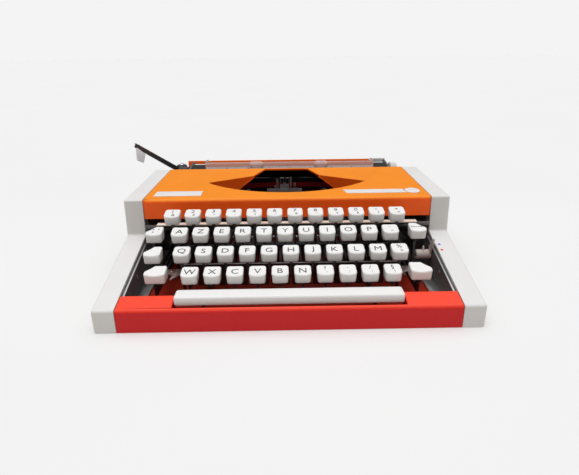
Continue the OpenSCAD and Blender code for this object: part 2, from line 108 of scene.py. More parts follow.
def share_of(nt, value, low, high):
    """0 where value is low or less, 1 where it is high or more."""
    n = add(nt, "ShaderNodeMapRange", From_Min=low, From_Max=high)
    nt.links.new(value, n.inputs["Value"])
    return n.outputs[0]


def noise(nt, scale, detail=2.0, stretch=(1, 1, 1)):
    coord = nt.nodes.new("ShaderNodeTexCoord")
    mapping = nt.nodes.new("ShaderNodeMapping")
    mapping.inputs["Scale"].default_value = stretch
    tex = add(nt, "ShaderNodeTexNoise", Scale=scale, Detail=detail)
    nt.links.new(coord.outputs["Object"], mapping.inputs["Vector"])
    nt.links.new(mapping.outputs[0], tex.inputs["Vector"])
    return tex.outputs["Fac"]


def ramp(nt, fac, stops):
    r = nt.nodes.new("ShaderNodeValToRGB")
    el = r.color_ramp.elements
    el[0].position, el[0].color = stops[0][0], rgba(stops[0][1])
    el[1].position, el[1].color = stops[-1][0], rgba(stops[-1][1])
    for pos, col in stops[1:-1]:
        el.new(pos).color = rgba(col)
    nt.links.new(fac, r.inputs["Fac"])
    return r.outputs["Color"]


def rgba(c):
    return (c, c, c, 1) if isinstance(c, (int, float)) else (*c, 1)


def mix(nt, fac, a, b, mode="MIX"):
    n = nt.nodes.new("ShaderNodeMix")
    n.data_type = "RGBA"
    n.blend_type = mode
    for key, v in ((0, fac), (6, a), (7, b)):
        if isinstance(v, bpy.types.NodeSocket):
            nt.links.new(v, n.inputs[key])
        else:
            n.inputs[key].default_value = v if key == 0 else rgba(v)
    return n.outputs[2]


def rough_between(nt, bsdf, fac, low, high):
    nt.links.new(ramp(nt, fac, [(0.3, low), (0.7, high)]), bsdf.inputs["Roughness"])


def bump(nt, bsdf, height, distance, strength, under=None):
    b = nt.nodes.new("ShaderNodeBump")
    b.inputs["Distance"].default_value = distance
    b.inputs["Strength"].default_value = strength
    nt.links.new(height, b.inputs["Height"])
    if under:
        nt.links.new(under.outputs[0], b.inputs["Normal"])
    nt.links.new(b.outputs[0], bsdf.inputs["Normal"])
    return b


def plastic(name, top, wall, rough=0.42, grain=1400, speck=0.04):
    """Moulded plastic: lighter on its upper faces and darker on its sides, a painted light and shade, with a
    fine spark-eroded grain and faint mottling.
    """
    m, nt, bsdf = new_material(name)
    # painted light and shade: faces turned up take the lit colour, side faces the shaded one
    painted_top_light = share_of(nt, coordinate(nt, "Normal", "Z"), 0.15, 0.85)
    base = mix(nt, painted_top_light, wall, top)
    cloud = ramp(nt, noise(nt, 28, 4), [(0.3, 1 - speck), (0.7, 1.0)])
    base = mix(nt, 1.0, base, cloud, "MULTIPLY")
    dust = ramp(nt, noise(nt, 900, 2), [(0.66, 0.0), (0.74, 0.35)])
    base = mix(nt, dust, base, tuple(min(1, 0.8 * c + 0.12) for c in top))
    nt.links.new(base, bsdf.inputs["Base Color"])
    rough_between(nt, bsdf, noise(nt, 60, 5), rough - 0.06, rough + 0.08)
    fine = bump(nt, bsdf, noise(nt, grain, 3), 0.00003, 0.5)
    bump(nt, bsdf, noise(nt, 70, 1), 0.0001, 0.25, under=fine)
    bsdf.inputs["Specular IOR Level"].default_value = 0.25
    return m


def metal(name, color, rough, streak, depth=0.00001, dirt=0.25, metallic=1.0):
    """Brushed or plated steel: streaks along one axis and dull patches."""
    m, nt, bsdf = new_material(name)
    lines = noise(nt, 900, 3, streak)
    patch = noise(nt, 45, 5)
    dark = tuple(c * (1 - dirt) for c in color)
    base = ramp(nt, patch, [(0.32, dark), (0.6, color)])
    fleck = ramp(nt, lines, [(0.35, 0.88), (0.65, 1.0)])
    nt.links.new(mix(nt, 1.0, base, fleck, "MULTIPLY"), bsdf.inputs["Base Color"])
    rough_between(nt, bsdf, lines, rough - 0.08, rough + 0.12)
    bsdf.inputs["Metallic"].default_value = metallic
    bump(nt, bsdf, lines, depth, 0.4)
    return m


def paint(name, color, rough=0.5, grain=600, depth=0.00002, spec=0.4):
    """Stove enamel or ink: a nearly even colour with slight orange peel."""
    m, nt, bsdf = new_material(name)
    cloud = ramp(nt, noise(nt, 80, 4), [(0.3, tuple(c * 0.82 for c in color)), (0.7, color)])
    nt.links.new(cloud, bsdf.inputs["Base Color"])
    rough_between(nt, bsdf, noise(nt, 200, 3), rough - 0.08, rough + 0.08)
    bsdf.inputs["Specular IOR Level"].default_value = spec
    bump(nt, bsdf, noise(nt, grain, 2), depth, 0.5)
    return m


# each plastic has a lit colour for faces turned up and a shaded one for its sides: painted light and shade
RED = plastic("red_plastic", (0.97, 0.062, 0.026), (0.60, 0.010, 0.011))
WHITE = plastic("white_plastic", (0.79, 0.78, 0.77), (0.66, 0.635, 0.60), rough=0.5)
ORANGE = plastic("orange_plastic", (1.0, 0.29, 0.006), (1.0, 0.115, 0.005))
KEY = plastic("key_plastic", (0.86, 0.85, 0.835), (0.74, 0.72, 0.69), rough=0.33, grain=700, speck=0.02)
BADGE = plastic("badge_plastic", (0.86, 0.85, 0.85), (0.8, 0.79, 0.79), rough=0.25, speck=0.01)
SELECTOR = plastic("selector_plastic", (0.62, 0.53, 0.49), (0.58, 0.49, 0.45), rough=0.5)
CREAM = plastic("rest_bar_cream", (0.93, 0.84, 0.73), (0.70, 0.60, 0.50), rough=0.4)
LEGEND = paint("legend_ink", (0.03, 0.03, 0.035), rough=0.45)
RUBBER = paint("platen_rubber", (0.022, 0.022, 0.024), rough=0.62, grain=1500, depth=0.00003, spec=0.25)
BLACK = paint("black_plastic", (0.02, 0.02, 0.021), rough=0.4, grain=900)
LEVER_STEEL = metal("lever_steel", (0.10, 0.10, 0.105), 0.42, (1, 0.05, 1))
PLATE = metal("frame_steel", (0.15, 0.147, 0.145), 0.5, (0.3, 0.05, 1), depth=0.00002, metallic=0.35)
FLANGE = metal("flange_steel", (0.55, 0.55, 0.56), 0.38, (1, 0.05, 1))
STEEL = metal("bright_steel", (0.62, 0.62, 0.63), 0.25, (0.05, 1, 1))
BASKET_STEEL = metal("type_bar_steel", (0.05, 0.05, 0.052), 0.55, (1, 1, 0.2), dirt=0.4, metallic=0.5)
SILVER = metal("nickel_plate", (0.80, 0.80, 0.81), 0.18, (1, 1, 0.1), dirt=0.12)
DARK_STEEL = metal("dark_steel_plate", (0.10, 0.095, 0.09), 0.5, (0.3, 0.05, 1), depth=0.00002)
DARK_PAINT = paint("dark_enamel", (0.045, 0.045, 0.05), rough=0.38)
RIBBON_BLACK = paint("ribbon_black", (0.012, 0.012, 0.013), rough=0.8, grain=5000, depth=0.00004, spec=0.1)
RIBBON_RED = paint("ribbon_red", (0.42, 0.012, 0.014), rough=0.75, grain=5000, depth=0.00004, spec=0.15)
DOT_BLUE = paint("dot_blue", (0.01, 0.10, 0.85), rough=0.4)
DOT_RED = paint("dot_red", (0.85, 0.03, 0.025), rough=0.4)
# near-white colour stands in for the bright reflection of the plated type guide and vibrator bar: painted
# reflection
GUIDE_SHEEN_WHITE = paint("guide_painted_sheen", (0.95, 0.95, 0.96), rough=0.35)
DARK_KNOB = paint("dark_knob", (0.03, 0.03, 0.032), rough=0.35)
TAB_GREY = paint("tab_grey", (0.74, 0.72, 0.74), rough=0.4)
PRONG = paint("prong_steel", (0.62, 0.52, 0.52), rough=0.35)


def glassy(name, color, alpha):
    m, nt, bsdf = new_material(name)
    cloud = ramp(nt, noise(nt, 90, 3), [(0.3, tuple(0.9 * c for c in color)), (0.7, color)])
    nt.links.new(cloud, bsdf.inputs["Base Color"])
    bsdf.inputs["Roughness"].default_value = 0.12
    bsdf.inputs["Alpha"].default_value = alpha
    bump(nt, bsdf, noise(nt, 300, 2), 0.00002, 0.3)
    return m


CARD_CLEAR = glassy("card_holder_clear", (0.75, 0.75, 0.80), 0.6)
ROLLER_CLEAR = glassy("roller_clear", (0.93, 0.80, 0.78), 0.35)


def bail_material():
    """Bright steel with a painted reflection of the orange cover: warm streaks that fade upwards."""
    m, nt, bsdf = new_material("bail_steel")
    height = share_of(nt, coordinate(nt, "Object", "Z"), 0.0765, 0.0822)
    # painted reflection of the orange cover, warm low on the strip and paler higher up
    painted_cover_reflection = ramp(nt, height,
                [(0.0, (0.80, 0.22, 0.12)), (0.5, (0.85, 0.42, 0.33)), (1.0, (0.92, 0.80, 0.78))])
    streak = ramp(nt, noise(nt, 12, 3, (1, 1, 60)), [(0.35, (0.80, 0.30, 0.20)), (0.65, (0.95, 0.75, 0.70))])
    nt.links.new(mix(nt, 0.4, painted_cover_reflection, streak), bsdf.inputs["Base Color"])
    bsdf.inputs["Metallic"].default_value = 0.2
    bsdf.inputs["Roughness"].default_value = 0.3
    bump(nt, bsdf, noise(nt, 500, 2, (0.1, 1, 1)), 0.00001, 0.4)
    return m


BAIL = bail_material()


def shade_inside(material):
    """Painted shade: the tray darkens behind its front wall and stays dark almost to its rear edge."""
    nt = material.node_tree
    socket = nt.nodes["Principled BSDF"].inputs["Base Color"]
    colour = socket.links[0].from_socket
    depth = share_of(nt, coordinate(nt, "Object", "Y"), 0, BODY_D * MM)
    # painted shade inside the tray, from just behind the front wall to near the rear wall
    tone = ramp(nt, depth,
                [(0.0, 1.0), (0.0622, 1.0), (0.0635, 0.42), (0.3, 0.25), (0.97, 0.25), (0.99, 1.0)])
    nt.links.new(mix(nt, 1.0, colour, tone, "MULTIPLY"), socket)


shade_inside(RED)

# ---------------------------------------------------------------- mesh helpers

BEVEL_ANGLE = math.radians(35)
SHARP_ANGLE = math.radians(38)


def mesh_from(name, bm):
    """Turns a bmesh drawn in mm into a mesh in metres."""
    bmesh.ops.scale(bm, vec=(MM, MM, MM), verts=bm.verts)
    mesh = bpy.data.meshes.new(name)
    bm.to_mesh(mesh)
    bm.free()
    return mesh


def piece(name, bm, mat, body, bevel=0.0, smooth=True):
    """Makes an object from a bmesh drawn in mm, bevels its sharp edges, and lets it ride on a body."""
    bmesh.ops.remove_doubles(bm, verts=bm.verts, dist=0.001)
    bmesh.ops.recalc_face_normals(bm, faces=bm.faces)
    if bevel:
        edges = [e for e in bm.edges if len(e.link_faces) == 2 and e.calc_face_angle(0) > BEVEL_ANGLE]
        bmesh.ops.bevel(bm, geom=edges, offset=bevel, segments=3, profile=0.5, affect="EDGES",
                        clamp_overlap=True, miter_outer="ARC")
    return placed(name, mesh_from(name, bm), mat, body, smooth)


def placed(name, mesh, mat, body, smooth=True, at=None):
    """An object with this mesh on a body. A mesh that several objects share keeps its own shading."""
    if smooth and at is None:
        for p in mesh.polygons:
            p.use_smooth = True
        mesh.set_sharp_from_angle(angle=SHARP_ANGLE)
    if not mesh.materials:
        mesh.materials.append(mat)
    obj = bpy.data.objects.new(name, mesh)
    scene.collection.objects.link(obj)
    if at:
        obj.location = [c * MM for c in at]
    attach(obj, body)
    return obj


def prism(bm, outline, axis, low, high):
    """Pushes a closed outline, drawn in the other two axes, out from low to high along an axis."""
    def point(p, t):
        return Vector((*p[:axis], t, *p[axis:]))

    bottom = [bm.verts.new(point(p, low)) for p in outline]
    top = [bm.verts.new(point(p, high)) for p in outline]
    n = len(outline)
    bm.faces.new(bottom)
    bm.faces.new(list(reversed(top)))
    for i in range(n):
        bm.faces.new([bottom[i], top[i], top[(i + 1) % n], bottom[(i + 1) % n]])


def block(bm, low, high):
    outline = [(low[0], low[1]), (high[0], low[1]), (high[0], high[1]), (low[0], high[1])]
    prism(bm, outline, 2, low[2], high[2])


def loft(bm, rings):
    """A closed skin over rings of equally many points, capped at both ends."""
    made = [[bm.verts.new(p) for p in ring] for ring in rings]
    n = len(made[0])
    for a, b in zip(made, made[1:]):
        for k in range(n):
            bm.faces.new([a[k], a[(k + 1) % n], b[(k + 1) % n], b[k]])
    bm.faces.new(list(reversed(made[0])))
    bm.faces.new(made[-1])


def lathe(bm, profile, centre, axis=0, steps=48):
    """Turns a profile of (place along the axis, radius) about an axis through centre."""
    rings = []
    for along, r in profile:
        ring = []
        for k in range(steps):
            a = 2 * math.pi * k / steps
            c, s = r * math.cos(a), r * math.sin(a)
            p = (along, centre[0] + c, centre[1] + s) if axis == 0 else (centre[0] + c, centre[1] + s, along)
            ring.append(bm.verts.new(p))
        rings.append(ring)
    bm.faces.new(rings[0])
    bm.faces.new(list(reversed(rings[-1])))
    for a, b in zip(rings, rings[1:]):
        for k in range(steps):
            bm.faces.new([a[k], b[k], b[(k + 1) % steps], a[(k + 1) % steps]])


def rod(bm, x0, x1, y, z, r):
    """A round bar along X with chamfered ends."""
    chamfer = 0.3
    profile = [(x0, r - chamfer), (x0 + chamfer, r), (x1 - chamfer, r), (x1, r - chamfer)]
    lathe(bm, profile, (y, z), 0, 32)


def screw(bm, at, normal, r=2.2, h=1.0):
    """A slotted pan head standing on a surface."""
    part = bmesh.new()
    profile = [(0, r), (h * 0.55, r), (h * 0.85, r * 0.8), (h, r * 0.45)]
    lathe(part, profile, (0, 0), 2, 20)
    slot = [v for v in part.verts if v.co.z > h * 0.8 and abs(v.co.y) < r * 0.22]
    for v in slot:
        v.co.z -= h * 0.4
    turn = Vector((0, 0, 1)).rotation_difference(Vector(normal)).to_matrix().to_4x4()
    bmesh.ops.transform(part, matrix=Matrix.Translation(at) @ turn, verts=part.verts)
    merge(bm, part)


def merge(bm, part):
    mesh = bpy.data.meshes.new("part")
    part.to_mesh(mesh)
    part.free()
    bm.from_mesh(mesh)
    bpy.data.meshes.remove(mesh)


def cad_copy(name, node, mat, body, bevel, weights):
    """The CAD node's own shape, each edge rounded off by its weight's share of bevel."""
    bm = bmesh.new()
    bm.from_mesh(NODES[node].data)
    bmesh.ops.scale(bm, vec=(1 / MM, 1 / MM, 1 / MM), verts=bm.verts)
    bmesh.ops.remove_doubles(bm, verts=bm.verts, dist=0.002)
    bmesh.ops.dissolve_limit(bm, angle_limit=math.radians(1.0), verts=bm.verts, edges=bm.edges)
    obj = piece(name, bm, mat, body)
    layer = obj.data.attributes.new("bevel_weight_edge", "FLOAT", "EDGE")
    for e in obj.data.edges:
        a, b = (obj.data.vertices[i].co / MM for i in e.vertices)
        layer.data[e.index].value = weights(a, b)
    mod = obj.modifiers.new("round", "BEVEL")
    mod.width = bevel * MM
    mod.segments = 4
    mod.limit_method = "WEIGHT"
    mod.miter_outer = "MITER_ARC"
    mod.harden_normals = True
    mod.use_clamp_overlap = False
    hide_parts(node)


def rounded_ring(corners, radius, inset, z, per_corner=5):
    """A closed outline with rounded corners, moved inwards by inset."""
    n = len(corners)
    points = []
    for i in range(n):
        p, prev, after = Vector(corners[i]), Vector(corners[i - 1]), Vector(corners[(i + 1) % n])
        a, b = (prev - p).normalized(), (after - p).normalized()
        half = math.acos(max(-1, min(1, a.dot(b)))) / 2
        centre = p + (a + b).normalized() * (radius / math.sin(half))
        start, end = angle_of(-perp(a)), angle_of(perp(b))
        sweep = (end - start + math.pi) % (2 * math.pi) - math.pi
        for k in range(per_corner):
            t = start + sweep * k / (per_corner - 1)
            r = radius - inset
            points.append((centre.x + r * math.cos(t), centre.y + r * math.sin(t), z))
    return points


def perp(v):
    return Vector((v.y, -v.x))


def angle_of(v):
    return math.atan2(v.y, v.x)


# ---------------------------------------------------------------- shells

def near(value, target, tol=0.2):
    return abs(value - target) < tol


def base_weights(a, b):
    """Wide rounding on the outer front and deck edges, a fine one elsewhere."""
    front_top = near(a.y, 0) and near(b.y, 0) and min(a.z, b.z) > 19
    deck_rear = near(a.y, DECK_D) and near(b.y, DECK_D)
    notch = a.y < 19 and b.y < 19 and min(a.z, b.z) > 19.5
    return 1.0 if front_top else 0.45 if deck_rear or notch else 0.2


def panel_weights(a, b):
    outer = abs(a.x) > 155.5 and abs(b.x) > 155.5
    crease = abs(a.x - b.x) > 15 and max(a.z, b.z) > 19
    return 1.0 if outer or crease else 0.15


def cover_weights(a, b):
    front_top = near(a.y, COVER_Y) and near(b.y, COVER_Y) and min(a.z, b.z) > SHOULDER - 0.5
    return 1.0 if front_top else 0.2


cad_copy("base_tray", "base_shell", RED, "machine", 3.2, base_weights)
cad_copy("side_cheeks", "side_panels", WHITE, "machine", 2.0, panel_weights)
cad_copy("cover_shell", "ribbon_cover", ORANGE, "ribbon_cover", 3.4, cover_weights)


def badge(name, rings):
    bm = bmesh.new()
    loft(bm, rings)
    piece(name, bm, BADGE, "ribbon_cover")


def plate_badge(name, corners):
    """A flat blank plate with rounded corners on the cover's top."""
    levels = ((0, -0.1), (0, 0.5), (0.25, 0.7))
    badge(name, [rounded_ring(corners, 0.8, inset, SHOULDER + z) for inset, z in levels])


def oval_badge():
    """A blank oval plate that overlaps the end of the right badge."""
    x, y, half_w, half_d, steps = 124, 129, 7.4, 8.6, 40
    rings = []
    for inset, z in ((0, -0.1), (0, 0.7), (0.3, 0.95)):
        rings.append([(x + (half_w - inset) * math.cos(t), y + (half_d - inset) * math.sin(t), SHOULDER + z)
                      for t in (2 * math.pi * k / steps for k in range(steps))])
    badge("badge_oval", rings)


plate_badge("badge_left", [(-130, 120.6), (-84, 120.6), (-84, 136.5), (-130, 136.5)])
plate_badge("badge_right", [(58.5, 122.8), (116.5, 122.8), (115.5, 135), (55.5, 135)])
oval_badge()

# ---------------------------------------------------------------- key caps, stems and legends

# the slanted corner of a side key
CUT_W, CUT_D = 7.2, 8.6


def dish_z(x, y):
    """Height of a cap's top: straight at the rear edge (y = 0), lower and hollowed towards the front."""
    hollow = min(0.0, -DISH + DISH_R - math.sqrt(DISH_R ** 2 - x * x))
    return hollow * (0.12 - 0.9 * y / CAP_D) + CAP_DROP * y / CAP_D


def with_sides(ring, per_corner, extra=5):
    """Adds points along the straight sides of a ring of rounded corners."""
    points = []
    for i, p in enumerate(ring):
        points.append(p)
        if i % per_corner == per_corner - 1:
            q = ring[(i + 1) % len(ring)]
            for k in range(1, extra + 1):
                points.append(tuple(a + (b - a) * k / (extra + 1) for a, b in zip(p, q)))
    return points


# inset from the widest outline and height of each ring, from the hollow below to the top
CAP_RINGS = [(2.6, -9.0), (2.4, -CAP_H), (1.5, -CAP_H), (0.95, -CAP_H + 0.2), (0.62, -CAP_H + 0.9),
             (0.4, -6.5), (0.1, -2.8), (0.0, -1.5), (0.06, -0.9), (0.26, -0.4), (0.62, -0.1), (1.0, 0.0)]


def cap_corners(w, cut):
    if cut == 0:
        return [(-w / 2, -CAP_D), (w / 2, -CAP_D), (w / 2, 0), (-w / 2, 0)]
    left = [(-w / 2, -CAP_D), (w / 2, -CAP_D), (w / 2, 0), (-w / 2 + CUT_W, 0), (-w / 2, -CUT_D)]
    return left if cut < 0 else [(-x, y) for x, y in reversed(left)]


def cap_mesh(name, w, cut=0):
    """A moulded cap: tapered sides, rounded edges, a dished top and a hollow underside."""
    bm = bmesh.new()
    corners = cap_corners(w, cut)
    radius = 2.8 if cut == 0 else 2.2
    middle = Vector((sum(c[0] for c in corners), sum(c[1] for c in corners))) / len(corners)
    rings = []
    for inset, z in CAP_RINGS:
        share = min(1.0, max(0.0, (z + 6.5) / 5.6))
        ring = with_sides(rounded_ring(corners, radius, inset * radius / 2.8, z, 6), 6)
        rings.append([(x, y, zz + share * dish_z(x, y)) for x, y, zz in ring])
    edge = rings[-1]
    for scale in (0.86, 0.62, 0.36, 0.12):
        ring = [(middle.x + (x - middle.x) * scale, middle.y + (y - middle.y) * scale) for x, y, _ in edge]
        rings.append([(x, y, dish_z(x, y)) for x, y in ring])
    loft(bm, rings)
    bmesh.ops.recalc_face_normals(bm, faces=bm.faces)
    mesh = mesh_from(name, bm)
    for p in mesh.polygons:
        p.use_smooth = True
    mesh.set_sharp_from_angle(angle=math.radians(60))
    mesh.materials.append(KEY)
    return mesh


def glyph_mesh(text, size, at, stretch=1.0, thin=0.0, depth=0.03):
    """Text as a mesh in mm, its middle at the given point."""
    curve = bpy.data.curves.new("glyph", "FONT")
    curve.body = text
    curve.size = size
    curve.extrude = depth
    curve.offset = -thin
    curve.resolution_u = 3
    obj = bpy.data.objects.new("glyph", curve)
    scene.collection.objects.link(obj)
    bpy.context.view_layer.update()
    mesh = bpy.data.meshes.new_from_object(obj.evaluated_get(bpy.context.evaluated_depsgraph_get()))
    bpy.data.objects.remove(obj)
    xs = [v.co.x for v in mesh.vertices]
    ys = [v.co.y for v in mesh.vertices]
    mid = ((min(xs) + max(xs)) / 2, (min(ys) + max(ys)) / 2)
    for v in mesh.vertices:
        v.co.x = (v.co.x - mid[0]) * stretch + at[0]
        v.co.y = v.co.y - mid[1] + at[1]
    return mesh


def legend(name, items, origin, body, stretch=1.12):
    """Printed signs on a cap's dished top. items are (text, size, x, y) from the middle of the rear edge."""
    bm = bmesh.new()
    for text, size, x, y in items:
        mesh = glyph_mesh(text, size, (x, y), stretch, 0.01)
        bm.from_mesh(mesh)
        bpy.data.meshes.remove(mesh)
    for v in bm.verts:
        v.co.z += dish_z(v.co.x, v.co.y) + 0.06
    return placed(name, mesh_from(name, bm), LEGEND, body, False, origin)


def lever_mesh(name, stem_y, top, z=24.0, h=6.0, pivot_y=ROD_Y, t=1.4):
    """A steel key lever: upright stem, filleted bend, long arm and the hook over its rod."""
    outline = [(stem_y, z + 1.2), (stem_y + 1.2, z), (pivot_y - 2.1, z)]
    hook = [(pivot_y + 2.1 * math.cos(a), z + h / 2 + 2.1 * math.sin(a))
            for a in (math.pi * (1 - k / 8) for k in range(9))]
    outline += hook + [(pivot_y + 2.1, z), (pivot_y + 5, z), (pivot_y + 6, z + 1), (pivot_y + 6, z + h - 1)]
    outline += [(pivot_y + 5, z + h)]
    bend = [(stem_y + 5 + 4 * (1 - math.sin(a)), z + h + 4 * (1 - math.cos(a)))
            for a in (math.pi / 2 * k / 5 for k in range(6))]
    outline += bend + [(stem_y + 5, top), (stem_y, top)]
    bm = bmesh.new()
    prism(bm, outline, 0, -t / 2, t / 2)
    block(bm, (-1.2, stem_y - 0.6, top - 2.6), (1.2, stem_y + 5.6, top))
    bmesh.ops.recalc_face_normals(bm, faces=bm.faces)
    mesh = mesh_from(name, bm)
    mesh.materials.append(LEVER_STEEL)
    return mesh


# each row from left to right: node name after "key_", sign and, where the key has two, its second sign
ROWS = [
    [(k, k.upper(), "") for k in "wxcvbn"]
    + [("comma", "?", ","), ("semicolon", ".", ";"), ("colon", "/", ":"), ("section", "§", "!")],
    [(k, k.upper(), "") for k in "qsdfghjklm"] + [("percent", "%", "ù")],
    [(k, k.upper(), "") for k in "azertyuiop"] + [("circumflex", "¨", "^")],
    [(k, k, second) for k, second in zip("1234567890", "&é\"'(-è_çà")]
    + [("degree", "°", ")"), ("equals", "+", "=")],
]


def type_keys():
    cap = cap_mesh("cap_square", CAP_W)
    for row in ROWS:
        low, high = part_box("key_" + row[0][0])
        front, top = low.y / MM, high.z / MM
        lever = lever_mesh("lever_" + row[0][0], front + 3, top - CAP_H + 0.1)
        for key, sign, second in row:
            node = "key_" + key
            low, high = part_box(node)
            x = (low.x + high.x) / 2 / MM
            origin = (x, front + CAP_D, top)
            body = placed("cap_" + key, cap, KEY, node, at=origin)
            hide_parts(node)
            placed("stem_" + key, lever, LEVER_STEEL, node, at=(x, 0, 0))
            if second:
                items = [(sign, 6.4, 0, -4.6), (second, 4.8, 1.2, -9.9)]
            else:
                items = [(sign, 8.6, 0, -7.4)]
            legend("legend_" + key, items, origin, node)


type_keys()

# name, node, middle of the cap, place of its arm, rear edge, top, side of the slant, width
SIDE_KEYS = [
    ("shift_left", "shift_keys", -110.9, -111.5, 39.8, 40.7, -1, 17.8),
    ("shift_right", "shift_keys", 109.8, 108.2, 39.8, 40.7, 1, 17.8),
    ("shift_lock", "shift_lock_key", -116.1, -115.5, 56.8, 51.3, -1, 14.5),
    ("margin_release", "margin_release_key", -118.6, -119.5, 78.3, 61.9, -1, 14.5),
    ("backspace", "backspace_key", 115.7, 113.2, 79.3, 61.9, 1, 14.5),
]


def side_keys():
    """Wide caps with a slanted outer side, on arms that run back below the key levers."""
    for name, node, x, arm_x, rear, top, cut, w in SIDE_KEYS:
        origin = (x, rear, top)
        cap = placed("cap_" + name, cap_mesh("cap_" + name, w, cut), KEY, node, at=origin)
        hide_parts(node)
        stem_y = rear - CAP_D + 3
        mesh = lever_mesh("arm_" + name, stem_y, top - CAP_H - 2.9, SIDE_Z, SIDE_ARM_H, SIDE_ROD_Y, 1.6)
        placed("arm_" + name, mesh, LEVER_STEEL, node, at=(arm_x, 0, 0))
        bm = bmesh.new()
        block(bm, (min(x, arm_x) - 0.8, stem_y, top - CAP_H - 3),
              (max(x, arm_x) + 0.8, stem_y + 5, top - CAP_H + 2))
        piece("socket_" + name, bm, BLACK, node, 0.4)
    bm = bmesh.new()
    rod(bm, -111.5, 108.2, SIDE_ROD_Y - 16, SIDE_Z + 1.5, 1.5)
    piece("shift_cross_bar", bm, STEEL, "shift_keys")
    marks = [(".", 11.0, dx, dy - 6.6) for dx in (-2.3, 2.3) for dy in (-2.0, 2.0)]
    legend("legend_margin_release", marks, (-118.6 + 1.0, 78.3, 61.9), "margin_release_key")
    bm = bmesh.new()
    middle, x, y, z = 115.7, 115.0, 79.3, 61.9
    for a, b in (((-4.4, -7.0), (4.4, -6.5)), ((-4.8, -8.2), (-4.3, -5.3)), ((4.3, -8.2), (4.8, -5.3))):
        block(bm, (x + a[0], y + a[1], z), (x + b[0], y + b[1], z + 0.06))
    bmesh.ops.subdivide_edges(bm, edges=bm.edges[:], cuts=6, use_grid_fill=True)
    for v in bm.verts:
        v.co.z += dish_z(v.co.x - middle, v.co.y - y) + 0.04
    piece("legend_backspace", bm, LEGEND, "backspace_key")


side_keys()


def space_bar():
    low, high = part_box("space_bar")
    w, y0, top = (high.x - low.x) / MM, low.y / MM, high.z / MM
    depth, h = 14.8, 7.2
    corners = [(-w / 2, y0), (w / 2, y0), (w / 2, y0 + depth), (-w / 2, y0 + depth)]
    rings = []
    for inset, z in ((2.0, -1.9), (1.7, -h), (0.35, -h), (0.15, -h + 0.3), (0.0, -2.2), (0.12, -1.3),
                     (0.5, -0.55), (1.1, -0.16), (1.9, -0.02)):
        rings.append(rounded_ring(corners, 2.4, inset, top + z, 6))
    bm = bmesh.new()
    loft(bm, rings)
    bar = piece("space_bar_cap", bm, KEY, "space_bar")
    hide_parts("space_bar")
    for i, x in enumerate(BAR_ARMS):
        mesh = lever_mesh(f"space_arm_{i}", y0 + depth - 8, top - 1.9, BAR_ROD_Z - 3, 6.0, BAR_ROD_Y, 1.6)
        placed(f"space_arm_{i}", mesh, LEVER_STEEL, "space_bar", at=(x, 0, 0))


space_bar()

# ---------------------------------------------------------------- inner frame

def frame_pieces():
    y0, y1 = DECK_D + 1, BODY_D - 14
    front, rear = slope_z(DECK_D), slope_z(COVER_Y)
    for s, side in ((-1, "left"), (1, "right")):
        bm = bmesh.new()
        outline = [(y0, FLOOR_TOP), (y0, front - 4), (113.5, rear - 4), (113.5, 74),
                   (229, 74), (229, REAR_H - 1), (y1, REAR_H - 1), (y1, FLOOR_TOP)]
        prism(bm, outline, 0, s * PLATE_X, s * (PLATE_X + PLATE_T))
        plate = piece("side_plate_" + side, bm, PLATE, "machine", 0.25)
        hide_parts("frame")
        bm = bmesh.new()
        block(bm, (s * 125.5, y0, FLOOR_TOP), (s * PLATE_X, y1, FLOOR_TOP + 1.6))
        piece("plate_foot_" + side, bm, FLANGE, "machine", 0.3)
        # a bright strip along the side plate's sloping top edge: painted highlight
        bm = bmesh.new()
        outline = [(y0, front - 4.1), (113.2, rear - 4.1), (113.2, rear - 2.9), (y0, front - 2.9)]
        prism(bm, outline, 0, s * (PLATE_X - 0.5), s * (PLATE_X + PLATE_T + 0.1))
        piece("plate_top_highlight_" + side, bm, FLANGE, "machine", 0.3)
        bm = bmesh.new()
        for y, z in ((30, 12), (62, 20), (98, 30), (150, 22), (205, 22)):
            screw(bm, (s * PLATE_X, y, z), (-s, 0, 0), 2.0, 1.0)
        for y in (40, 100, 160, 220, 280):
            screw(bm, (s * 130.5, y, FLOOR_TOP + 1.6), (0, 0, 1), 2.2, 1.0)
        piece("plate_screws_" + side, bm, SILVER, "machine")
    xs = [[sum(corner.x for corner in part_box("key_" + key[0])) / 2 / MM for key in row] for row in ROWS]
    comb("front_comb", sorted(xs[0] + xs[1]), 58.3, FLANGE)
    comb("rear_comb", sorted(sum(xs, [])), 102.4, PLATE)
    comb_wings()
    bm = bmesh.new()
    rod(bm, -PLATE_X, PLATE_X, ROD_Y, ROD_Z, 2)
    rod(bm, -PLATE_X, PLATE_X, SIDE_ROD_Y, SIDE_Z + 3, 2)
    rod(bm, -76, 76, BAR_ROD_Y, BAR_ROD_Z, 2)
    rod(bm, 121, PLATE_X, SELECTOR_Y, SELECTOR_Z, 2)
    for s in (-1, 1):
        lathe(bm, [(FLOOR_TOP, 3), (51.6, 3), (52, 2.6)], (s * 46, 235.5), 2, 32)
    piece("pivot_rods", bm, PLATE, "machine")
    bm = bmesh.new()
    for s in (-1, 1):
        block(bm, (s * 76, BAR_ROD_Y - 5, FLOOR_TOP), (s * 80, BAR_ROD_Y + 5, BAR_ROD_Z + 2.4))
    block(bm, (-PLATE_X, 286, FLOOR_TOP + 1.7), (PLATE_X, 289, RAIL_Z))
    piece("rear_beam", bm, PLATE, "machine", 0.3)
    bm = bmesh.new()
    block(bm, (-137.6, RAIL_Y, RAIL_Z), (137.6, RAIL_Y + 7, RAIL_Z + 7))
    piece("carriage_rail", bm, SILVER, "machine", 0.6)
    rest_bar(xs[3])
    for s, side in ((-1, "left"), (1, "right")):
        spool(s * 102, side)
        bm = bmesh.new()
        block(bm, (s * 102, 140, 53.5), (s * PLATE_X, 152, 55.5))
        block(bm, (s * 116, 102, 51), (s * PLATE_X, 105, 54))
        piece("brackets_" + side, bm, PLATE, "machine", 0.3)


